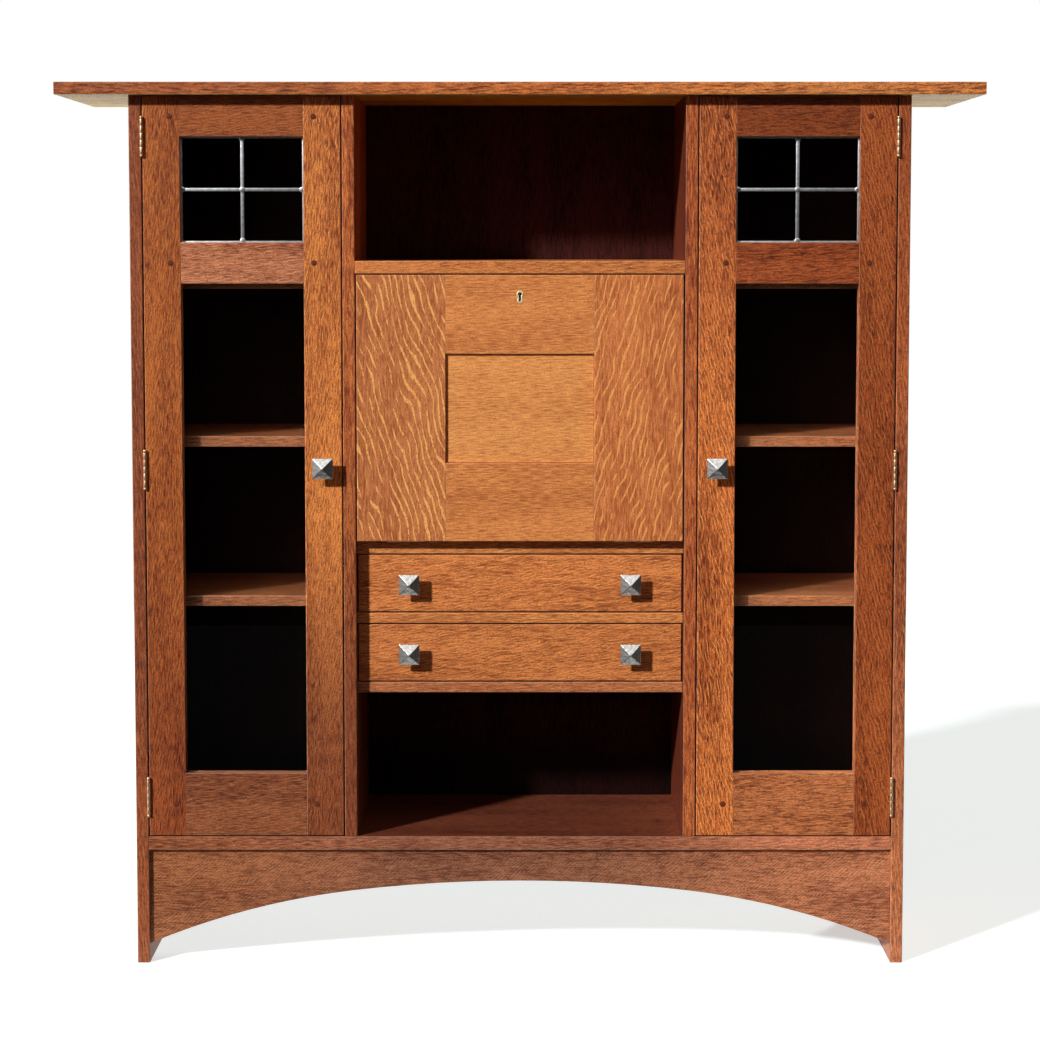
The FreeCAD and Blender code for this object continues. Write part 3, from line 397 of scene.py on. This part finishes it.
# Painted shade: the top rail darker, and the bottom rail darker
dress(oak("left_rail_oak", "x", "#6b2f1b", "#d2865c", "#feb984",
          fleck=0.4, ribbon_mm=5, slant_deg=10, place_m=3.1,
          tones=[([("Z", 1.25, 1.4)], "#cdb083"), ([("Z", 1.0, 0.4)], "#c0b3a5")]),
      "left_door_rails", "left_glass_stops")

# Pegs: round oak pins through the tenons, driven from the front and pared nearly flush, so that dark end
# grain shows. Its vessels are about 0.3 mm wide, too fine to show here, and are drawn coarser.
peg_radius, peg_length, peg_proud, peg_chamfer, peg_crown = 0.0048, 0.008, 0.0004, 0.0012, 0.0003
vessel_mm, vessel_depth = 0.9, 0.0003
end_grain = bare("oak_end_grain")
at = add(end_grain, "TexCoord", {}).outputs["Object"]
vessels = add(end_grain, "TexVoronoi", {"Vector": at, "Scale": 1000 / vessel_mm}).outputs["Distance"]
open_grain = add(end_grain, "MapRange", {"Value": vessels, "From Min": 0.2, "From Max": 0.5}).outputs[0]
colour = add(end_grain, "Mix", {0: open_grain, 6: linear("#2c1006"), 7: linear("#6a3015")},
             data_type="RGBA").outputs[2]
pitted = add(end_grain, "Bump", {"Height": vessels, "Strength": 0.3, "Distance": vessel_depth}).outputs[0]
dull = add(end_grain, "BsdfPrincipled", {"Base Color": colour, "Roughness": 0.6, "Normal": pitted,
                                         "Specular IOR Level": 0.2}).outputs[0]
add(end_grain, "OutputMaterial", {"Surface": dull})
bpy.ops.object.select_all(action="DESELECT")
bpy.ops.mesh.primitive_cylinder_add(vertices=24, radius=peg_radius, depth=peg_length,
                                    rotation=(pi / 2, 0, 0))
peg = bpy.context.object
bpy.ops.object.transform_apply()
pick(peg, "FACE", lambda face: face.normal.y < -0.9)
bpy.ops.mesh.inset(thickness=peg_chamfer)
bpy.ops.transform.translate(value=(0, -peg_crown, 0))
bpy.ops.object.mode_set(mode="OBJECT")
smooth(peg)
for hand in ("right", "left"):
    ends = [((low.x + high.x) / 2, low.y - peg_proud + peg_length / 2, (low.z + high.z) / 2)
            for low, high in solids(hand + "_door_pegs")]
    peg_ends = set_out(hand + "_peg_ends", peg, ends, (0, 0, 0), end_grain, hand + "_door")
    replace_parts(peg_ends, hand + "_door_pegs")
bpy.data.objects.remove(peg)

# Panes: clear float glass, one long sheet in each lower light and four small ones in the lead above it. It
# shows the shelves behind and only a faint reflection, and lets the lamp's light through.
glass = bare("clear_glass")
clear = add(glass, "BsdfPrincipled", {"Base Color": linear("#f4f8f6"), "Roughness": 0.0, "IOR": 1.5,
                                      "Specular IOR Level": 0.15, "Transmission Weight": 1.0}).outputs[0]
through = add(glass, "BsdfTransparent", {}).outputs[0]
shadow = add(glass, "LightPath", {}).outputs["Is Shadow Ray"]
pane = add(glass, "MixShader", {0: shadow, 1: clear, 2: through}).outputs[0]
add(glass, "OutputMaterial", {"Surface": pane})
dress(glass, "right_leaded_panes", "left_leaded_panes", "right_long_pane", "left_long_pane")

# Lead came: H-section strips of milled lead that hold the four small panes, rounded on the face and joined
# by flat drops of solder. Lead is dull grey, and the solder is brighter.
lead = metal("milled_lead", "#9b9da0", "#c8cbce", patch_mm=9, polished=0.44, worn=0.54)
solder = metal("tin_solder", "#aaadb0", "#d8dadc", patch_mm=4, polished=0.36, worn=0.46)
dress(lead, "right_lead_came", "left_lead_came")
came_width, came_border, came_face, came_proud, came_round = 0.0056, 0.0096, 0.002, 0.0008, 0.0009
drop_radius, drop_flatness, drop_back = 0.0048, 0.2, 0.0006
bpy.ops.object.select_all(action="DESELECT")
bpy.ops.mesh.primitive_uv_sphere_add(segments=16, ring_count=10, radius=drop_radius)
drop = bpy.context.object
bpy.ops.object.mode_set(mode="EDIT")
bpy.ops.transform.resize(value=(1, drop_flatness, 1), center_override=(0, 0, 0))
bpy.ops.mesh.bisect(plane_co=(0, drop_back, 0), plane_no=(0, 1, 0), clear_outer=True, use_fill=True)
bpy.ops.object.mode_set(mode="OBJECT")
smooth(drop)
for hand in ("right", "left"):
    low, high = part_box(hand + "_lead_came")
    x, z = (low[0] + high[0]) / 2, (low[2] + high[2]) / 2
    wide, tall = high[0] - low[0], high[2] - low[2]
    reach_x, reach_z = wide / 2 - came_border, tall / 2 - came_border
    front = low[1] - came_proud
    strips = [(x, z, came_width, 2 * reach_z), (x, z, 2 * reach_x, came_width)]
    for side in (-1, 1):
        strips.append((x + side * (wide - came_border) / 2, z, came_border, tall))
        strips.append((x, z + side * (tall - came_border) / 2, wide, came_border))
    bars = []
    for strip_x, strip_z, strip_wide, strip_tall in strips:
        bpy.ops.object.select_all(action="DESELECT")
        bpy.ops.mesh.primitive_cube_add(size=1, location=(strip_x, front + came_face / 2, strip_z),
                                        scale=(strip_wide, came_face, strip_tall))
        bar = bpy.context.object
        bpy.ops.object.transform_apply()
        rounding = bar.modifiers.new("round", "BEVEL")
        rounding.width = came_round
        rounding.segments = 3
        bpy.ops.object.modifier_apply(modifier="round")
        bars.append(bar)
    for bar in bars:
        bar.select_set(True)
    bpy.ops.object.join()
    faces = bpy.context.object
    faces.name = hand + "_came_faces"
    faces.data.materials.append(lead)
    smooth(faces)
    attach(faces, hand + "_door")
    joints = [(x, front, z)]
    joints += [(x + side * reach_x, front, z) for side in (-1, 1)]
    joints += [(x, front, z + side * reach_z) for side in (-1, 1)]
    set_out(hand + "_solder_joints", drop, joints, (0, 0, 0), solder, hand + "_door")
bpy.data.objects.remove(drop)

# Knobs: square pyramids of cast pewter, hammered by hand, on a tapered neck that spreads to a foot on the
# wood. Their faces glint in small flats, and the pewter is duller in soft patches.
pewter = metal("hammered_pewter", "#a9a6a2", "#d2d0cd", patch_mm=4, polished=0.3, worn=0.4)
knob_low, knob_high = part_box("right_door_knob")
knob_width, knob_reach = knob_high[0] - knob_low[0], knob_high[1] - knob_low[1]
lip, stand, neck, foot, foot_depth, point = 0.0024, 0.0176, 0.012, 0.017, 0.008, 0.0016
cast_round, dent_size, dent_depth = 0.0005, 0.0045, 0.0004
bpy.ops.object.select_all(action="DESELECT")
bpy.ops.mesh.primitive_cube_add(size=1, location=(0, -stand - lip / 2, 0),
                                scale=(knob_width, lip, knob_width))
knob = bpy.context.object
bpy.ops.object.transform_apply()
pick(knob, "FACE", lambda face: face.normal.y < -0.9)
bpy.ops.mesh.extrude_region_move(TRANSFORM_OT_translate={"value": (0, stand + lip - knob_reach, 0)})
bpy.ops.transform.resize(value=(point / knob_width, 1, point / knob_width), center_override=(0, 0, 0))
pick(knob, "FACE", lambda face: face.normal.y > 0.9)
bpy.ops.mesh.extrude_region_move(TRANSFORM_OT_translate={"value": (0, stand - foot_depth, 0)})
bpy.ops.transform.resize(value=(neck / knob_width, 1, neck / knob_width), center_override=(0, 0, 0))
bpy.ops.mesh.extrude_region_move(TRANSFORM_OT_translate={"value": (0, foot_depth, 0)})
bpy.ops.transform.resize(value=(foot / neck, 1, foot / neck), center_override=(0, 0, 0))
bpy.ops.mesh.select_all(action="SELECT")
bpy.ops.mesh.bevel(offset=cast_round, segments=2, affect="EDGES")
bpy.ops.object.mode_set(mode="OBJECT")
fine = knob.modifiers.new("fine", "SUBSURF")
fine.subdivision_type = "SIMPLE"
fine.levels = fine.render_levels = 4
bpy.ops.object.modifier_apply(modifier="fine")
hammer = bpy.data.textures.new("hammer_marks", "VORONOI")
hammer.noise_scale = dent_size
dents = knob.modifiers.new("dents", "DISPLACE")
dents.texture = hammer
dents.texture_coords = "LOCAL"
dents.strength = dent_depth
dents.mid_level = 0.6
bpy.ops.object.modifier_apply(modifier="dents")
smooth(knob)
for node, body in (("right_door_knob", "right_door"), ("left_door_knob", "left_door"),
                   ("upper_drawer_knobs", "upper_drawer"), ("lower_drawer_knobs", "lower_drawer")):
    seats = [((low.x + high.x) / 2, high.y, (low.z + high.z) / 2) for low, high in solids(node)]
    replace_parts(set_out("hammered_" + node, knob, seats, (0, 0, 0), pewter, body), node)
bpy.data.objects.remove(knob)

# Door hinges: loose-pin butts of drawn brass, satin and lacquered, let into the stile and the side, with a
# turned ball at each end of the pin and slotted screws in the leaves.
brass = metal("satin_brass", "#c79d74", "#e6c7a4", patch_mm=7, polished=0.42, worn=0.55)
dress(brass, "hinge_case_leaves", "hinge_pins", "right_hinge_door_leaves", "left_hinge_door_leaves")
hinge_length, hinge_knuckles, barrel_radius, ball_radius, leaf_gap = 0.058, 5, 0.00265, 0.0028, 0.001
knuckle_gap, knuckle_round, leaf_screw_back, leaf_screw_pitch = 0.0002, 0.0003, 0.013, 0.02
knuckle, ball_cut = hinge_length / hinge_knuckles, 0.8 * ball_radius
bpy.ops.object.select_all(action="DESELECT")
bpy.ops.mesh.primitive_cylinder_add(vertices=24, radius=barrel_radius, depth=knuckle - knuckle_gap)
sleeve = bpy.context.object
height = {corner.index: round(corner.co.z, 5) for corner in sleeve.data.vertices}
pick(sleeve, "EDGE", lambda edge: height[edge.vertices[0]] == height[edge.vertices[1]])
bpy.ops.mesh.bevel(offset=knuckle_round, segments=2, affect="EDGES")
bpy.ops.object.mode_set(mode="OBJECT")
smooth(sleeve)
bpy.ops.object.select_all(action="DESELECT")
bpy.ops.mesh.primitive_uv_sphere_add(segments=20, ring_count=12, radius=ball_radius)
ball = bpy.context.object
bpy.ops.object.mode_set(mode="EDIT")
bpy.ops.mesh.bisect(plane_co=(0, 0, -ball_cut), plane_no=(0, 0, 1), clear_inner=True, use_fill=True)
bpy.ops.object.mode_set(mode="OBJECT")
smooth(ball)
pins = [(low + high) / 2 for low, high in solids("hinge_pins") if high.z - low.z > high.x - low.x]
rise = Vector((0, 0, knuckle))
ball_rise = Vector((0, 0, hinge_length / 2 + ball_cut))
case_sleeves = [pin + place * rise for pin in pins for place in (-2, 0, 2)]
set_out("case_knuckles", sleeve, case_sleeves, (0, 0, 0), brass, "case")
set_out("upper_hinge_balls", ball, [pin + ball_rise for pin in pins], (0, 0, 0), brass, "case")
set_out("lower_hinge_balls", ball, [pin - ball_rise for pin in pins], (pi, 0, 0), brass, "case")
for hand, side in (("right", 1), ("left", -1)):
    own = [pin for pin in pins if pin.x * side > 0]
    door_sleeves = [pin + place * rise for pin in own for place in (-1, 1)]
    set_out(hand + "_door_knuckles", sleeve, door_sleeves, (0, 0, 0), brass, hand + "_door")
    heads = [pin + Vector((0, leaf_screw_back, place * leaf_screw_pitch)) for pin in own
             for place in (-1, 0, 1)]
    set_back = Vector((side * (leaf_gap + screw_sink), 0, 0))
    set_out(hand + "_door_leaf_screws", screw, [head - set_back for head in heads], (0, side * pi / 2, 0),
            brass, hand + "_door")
    set_out(hand + "_case_leaf_screws", screw, [head + set_back for head in heads], (0, -side * pi / 2, 0),
            brass, "case")
bpy.data.objects.remove(ball)
bpy.data.objects.remove(sleeve)

# Catches: magnets in moulded brown nylon, fixed inside the bays at the height of the knobs, and a thin
# steel plate behind each lock stile. The nylon has a soft gloss and a faint orange peel from its mould.
peel_mm, peel_depth = 1.5, 0.0002
nylon = bare("moulded_nylon")
at = add(nylon, "TexCoord", {}).outputs["Object"]
orange_peel = add(nylon, "TexNoise", {"Vector": at, "Scale": 1000 / peel_mm, "Detail": 2}).outputs[0]
colour = add(nylon, "Mix", {0: orange_peel, 6: linear("#22130b"), 7: linear("#3a2415")},
             data_type="RGBA").outputs[2]
peel = add(nylon, "Bump", {"Height": orange_peel, "Strength": 0.2, "Distance": peel_depth}).outputs[0]
skin = add(nylon, "BsdfPrincipled", {"Base Color": colour, "Roughness": 0.42, "Normal": peel}).outputs[0]
add(nylon, "OutputMaterial", {"Surface": skin})
dress(nylon, "door_catches")
dress(steel, "right_catch_plate", "left_catch_plate")

# Fall front: two wide oak stiles from one flitch, with a bold ray figure, and rails and a flat sunk panel
# with level grain. The frame is tenoned together round the panel, which lies in its grooves.
dress(oak("fall_stile_oak", "z", "#9a4d24", "#d8844b", "#fdb562",
          fleck=1.0, ribbon_mm=12, slant_deg=-18, place_m=3.4,
          tones=[([("X", 0.02, -0.02)], "#f3f7ff")], book=0.65), "fall_stiles")
dress(oak("fall_rail_oak", "x", "#a25829", "#e59351", "#f8b569",
          fleck=0.3, ribbon_mm=6, slant_deg=8, place_m=3.9), "fall_rails")
dress(oak("fall_panel_oak", "x", "#b16532", "#eca059", "#fabd6f",
          fleck=0.35, ribbon_mm=5, slant_deg=6, place_m=4.2), "fall_panel")

# Lock: a steel box lock with a sliding bolt, screwed on inside the top rail, and a rim of cast brass,
# rubbed bright and let into the wood round the keyhole, with its edges rounded over.
dress(steel, "lock_case", "lock_bolt")
bright_brass = metal("rubbed_cast_brass", "#f2dfb0", "#fff0cc", patch_mm=5, polished=0.5, worn=0.62)
rim_proud, rim_round = 0.0007, 0.0006
bpy.ops.object.select_all(action="DESELECT")
rim = bpy.data.objects.new("keyhole_rim", nodes["escutcheon"].data.copy())
bpy.context.collection.objects.link(rim)
rim.select_set(True)
bpy.context.view_layer.objects.active = rim
bpy.ops.object.mode_set(mode="EDIT")
bpy.ops.mesh.select_all(action="SELECT")
bpy.ops.mesh.remove_doubles(threshold=0.00001)
pick(rim, "FACE", lambda face: face.normal.y < -0.9)
bpy.ops.mesh.extrude_region_move(TRANSFORM_OT_translate={"value": (0, -rim_proud, 0)})
bpy.ops.object.mode_set(mode="OBJECT")
rounding = rim.modifiers.new("round", "BEVEL")
rounding.limit_method = "ANGLE"
rounding.angle_limit = radians(50)
rounding.width = rim_round
rounding.segments = 3
bpy.ops.object.modifier_apply(modifier="round")
smooth(rim)
rim.data.materials.clear()
rim.data.materials.append(bright_brass)
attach(rim, "fall")
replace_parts(rim, "escutcheon")
low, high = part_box("lock_case")
lock_margin = 0.005
lock_screws = [(x, high[1] - screw_sink, z) for x in (low[0] + lock_margin, high[0] - lock_margin)
               for z in (low[2] + lock_margin, high[2] - lock_margin)]
set_out("lock_screws", screw, lock_screws, (-pi / 2, 0, 0), steel, "fall")
bpy.data.objects.remove(screw)

# Fall hinges and stays: brass butts under the fall, and slotted brass arms that stop it level, each
# between a bracket on the fall and a guide on the partition, with domed rivets.
dress(brass, "fall_hinge_bed_leaves", "fall_hinge_fall_leaves", "stay_arms", "stay_guides", "stay_brackets")
rivet_radius, rivet_depth, pivot_set_back = 0.0051, 0.0026, 0.005
dome_step, dome_rises = 0.0013, (0.0005, 0.00035, 0.0002)
bpy.ops.object.select_all(action="DESELECT")
bpy.ops.mesh.primitive_cylinder_add(vertices=24, radius=rivet_radius, depth=rivet_depth)
rivet = bpy.context.object
pick(rivet, "FACE", lambda face: face.normal.z > 0.9)
for dome_rise in dome_rises:
    bpy.ops.mesh.inset(thickness=dome_step)
    bpy.ops.transform.translate(value=(0, 0, dome_rise))
bpy.ops.object.mode_set(mode="OBJECT")
smooth(rivet)
for hand, side in (("right", 1), ("left", -1)):
    for node, body in (("stay_guides", "case"), ("stay_brackets", "fall")):
        low, high = next(pair for pair in solids(node) if pair[0].x * side > 0)
        inner = low.x if side > 0 else high.x
        y = (low.y + high.y) / 2 if body == "case" else high.y - pivot_set_back
        place = (inner + side * rivet_depth / 2, y, (low.z + high.z) / 2)
        set_out(hand + "_" + node + "_rivet", rivet, [place], (0, -side * pi / 2, 0), brass, body)
bpy.data.objects.remove(rivet)

# Drawers: oak fronts with level grain, stained and lacquered as the case is, and thinner boxes behind them,
# dovetailed together and left nearly bare.
dress(oak("drawer_oak", "x", "#84401b", "#e18849", "#ffb165",
          fleck=0.5, ribbon_mm=5, slant_deg=14, place_m=4.6,
          tones=[([("Z", 0.61, 0.58)], "#f2f1f3")]), "upper_drawer_front", "lower_drawer_front")
dress(oak("drawer_side_oak", "y", "#94683c", "#c09860", "#d4b07c",
          fleck=0.3, ribbon_mm=6, slant_deg=8, place_m=5.6),
      "upper_drawer_sides", "lower_drawer_sides")
dress(oak("drawer_box_oak", "x", "#94683c", "#c09860", "#d4b07c",
          fleck=0.3, ribbon_mm=6, slant_deg=8, place_m=6.1),
      "upper_drawer_back", "lower_drawer_back", "upper_drawer_bottom", "lower_drawer_bottom")

# Floor: pale studio paper, laid flat, that glows towards the eye up to white and keeps the bookcase's
# shadow. Beside the case and behind it, it also lights what looks down, as a wide white sweep does.
def straight_sight(owner, path):
    """One for a ray that has come straight from the eye, or through clear glass only."""
    bounces = add(owner, "Math", {0: path["Diffuse Depth"], 1: path["Glossy Depth"]},
                  operation="ADD").outputs[0]
    direct = add(owner, "Math", {0: bounces, 1: 0.5}, operation="LESS_THAN").outputs[0]
    through = add(owner, "Math", {0: direct, 1: path["Is Transmission Ray"]},
                  operation="MULTIPLY").outputs[0]
    return add(owner, "Math", {0: through, 1: path["Is Camera Ray"]}, operation="MAXIMUM").outputs[0]


def any_sight(owner, path):
    """One for a ray that shows the studio, from the eye, a gleam or glass, and none for one that lights."""
    seen = add(owner, "Math", {0: path["Is Camera Ray"], 1: path["Is Glossy Ray"]},
               operation="MAXIMUM").outputs[0]
    return add(owner, "Math", {0: seen, 1: path["Is Transmission Ray"]}, operation="MAXIMUM").outputs[0]


floor_wide, floor_deep = 9, 7
dim_front, dim_end, dim_share, paper_glow = -0.5, -0.2, 0.004, 0.54
flank_front, flank_full, flank_inner, flank_outer = -0.2, 0.0, 0.66, 0.76
rear_start, rear_full = 0.2, 0.4
bpy.ops.object.select_all(action="DESELECT")
bpy.ops.mesh.primitive_plane_add(size=1)
floor = bpy.context.object
floor.name = "studio_floor"
floor.scale = (floor_wide, floor_deep, 1)
bpy.ops.object.transform_apply(scale=True)
paper = bare("studio_paper")
path = add(paper, "LightPath", {}).outputs
place = add(paper, "TexCoord", {}).outputs["Object"]
axes = add(paper, "SeparateXYZ", {0: place}).outputs
forward = axes["Y"]
aside = add(paper, "Math", {0: axes["X"]}, operation="ABSOLUTE").outputs[0]
# In front of the case, the paper is painted near black to all but the eye and clear glass, as painted shade
lit = add(paper, "MapRange", {"Value": forward, "From Min": dim_front, "From Max": dim_end,
                              "To Min": dim_share}).outputs[0]
lit = add(paper, "Math", {0: lit, 1: straight_sight(paper, path)}, operation="MAXIMUM").outputs[0]
glow = add(paper, "Math", {0: any_sight(paper, path), 1: lit}, operation="MULTIPLY").outputs[0]
glow = add(paper, "Math", {0: glow, 1: paper_glow}, operation="MULTIPLY").outputs[0]
set_far = add(paper, "MapRange", {"Value": forward, "From Min": flank_front,
                                  "From Max": flank_full}).outputs[0]
flank = add(paper, "MapRange", {"Value": aside, "From Min": flank_inner, "From Max": flank_outer,
                                "To Max": set_far}).outputs[0]
rear = add(paper, "MapRange", {"Value": forward, "From Min": rear_start, "From Max": rear_full}).outputs[0]
sweep = add(paper, "Math", {0: flank, 1: rear}, operation="MAXIMUM").outputs[0]
glow = add(paper, "Math", {0: path["Is Diffuse Ray"], 1: sweep, 2: glow},
           operation="MULTIPLY_ADD").outputs[0]
shade = add(paper, "Mix", {0: lit, 6: linear("#181818"), 7: linear("#cddfde")},
            data_type="RGBA").outputs[2]
matt = add(paper, "BsdfDiffuse", {"Color": shade}).outputs[0]
white = add(paper, "Emission", {"Strength": glow}).outputs[0]
ground = add(paper, "AddShader", {0: matt, 1: white}).outputs[0]
add(paper, "OutputMaterial", {"Surface": ground})
floor.data.materials.append(paper)

# Studio: a white backdrop behind and above, a dim room in front, one hard lamp high in front on the left,
# and a weaker one behind on the right, for the sides that the first one leaves dark.
lamp_distance, fill_strength = 2.5, 0.19
world = bpy.data.worlds.new("studio")
bpy.context.scene.world = world
world.use_nodes = True
world.node_tree.nodes.clear()
path = add(world, "LightPath", {}).outputs
toward = add(world, "TexCoord", {}).outputs["Generated"]
axes = add(world, "SeparateXYZ", {0: toward}).outputs
behind = add(world, "MapRange", {"Value": axes["Y"], "From Min": -0.1, "From Max": 0.4}).outputs[0]
above = add(world, "MapRange", {"Value": axes["Z"], "From Min": 0.35, "From Max": 0.8,
                                "To Max": 1.5}).outputs[0]
beside = add(world, "MapRange", {"Value": axes["X"], "From Min": -0.45, "From Max": -0.95,
                                 "To Max": 0.5}).outputs[0]
room = add(world, "Math", {0: behind, 1: above}, operation="MAXIMUM").outputs[0]
room = add(world, "Math", {0: room, 1: beside}, operation="MAXIMUM").outputs[0]
room = add(world, "Math", {0: room, 1: straight_sight(world, path)}, operation="MAXIMUM").outputs[0]
seen = any_sight(world, path)
level = add(world, "Mix", {0: seen, 2: fill_strength, 3: room}, data_type="FLOAT").outputs[0]
tint = add(world, "Mix", {0: seen, 6: linear("#ffd6cb"), 7: linear("#ffffff")}, data_type="RGBA").outputs[2]
sky = add(world, "Background", {"Color": tint, "Strength": level}).outputs[0]
add(world, "OutputWorld", {"Surface": sky})
for name, travel, strength, spread_deg in (("key_lamp", (1.05, 1.0, -0.78), 4.3, 4),
                                           ("rear_lamp", (-0.7, -1.0, -0.7), 1.8, 8)):
    bpy.ops.object.light_add(type="SUN", location=-lamp_distance * Vector(travel))
    lamp = bpy.context.object
    lamp.name = name
    lamp.data.energy = strength
    lamp.data.angle = radians(spread_deg)
    lamp.rotation_mode = "QUATERNION"
    lamp.rotation_quaternion = Vector(travel).to_track_quat("-Z", "Y")

# Camera: a long lens a little above the cubby shelf, square to the front. It is tipped down a little, and
# its frame is shifted down too, so that the uprights stay nearly upright.
eye_distance, eye_height, tip_deg = 3.909, 1.213, 3.873
bpy.ops.object.camera_add(location=(0, -eye_distance, eye_height), rotation=(radians(90 - tip_deg), 0, 0))
camera = bpy.context.object
camera.data.lens = 78.65
camera.data.sensor_width = 36
camera.data.shift_y = -0.12
bpy.context.scene.camera = camera
bpy.context.scene.view_settings.view_transform = "Standard"
